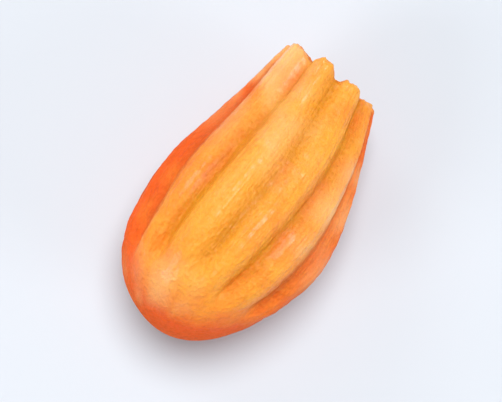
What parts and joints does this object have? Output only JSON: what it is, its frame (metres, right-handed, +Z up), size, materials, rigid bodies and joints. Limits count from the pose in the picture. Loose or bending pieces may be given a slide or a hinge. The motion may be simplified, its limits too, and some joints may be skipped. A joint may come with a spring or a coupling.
{
  "type": "tulumba",
  "caption": "Piece of fried, syrup-soaked star-piped dough with lengthwise ridges, a smooth rounded end and a toothed cut end, lying on its belly.",
  "frame": {"origin": "middle of the bounding box at the base, on the surface the piece rests on", "axes": "+X along the length towards the cut end, +Y across, +Z up"},
  "size_m": [0.053, 0.0324, 0.0305],
  "materials": {
    "fried_dough": "golden orange fried crust with fine lengthwise streaks and a thin coat of syrup; paler on the ridges, deeper orange in the grooves"
  },
  "bodies": {
    "root": {"tulumba": "fried_dough"}
  },
  "joints": []
}
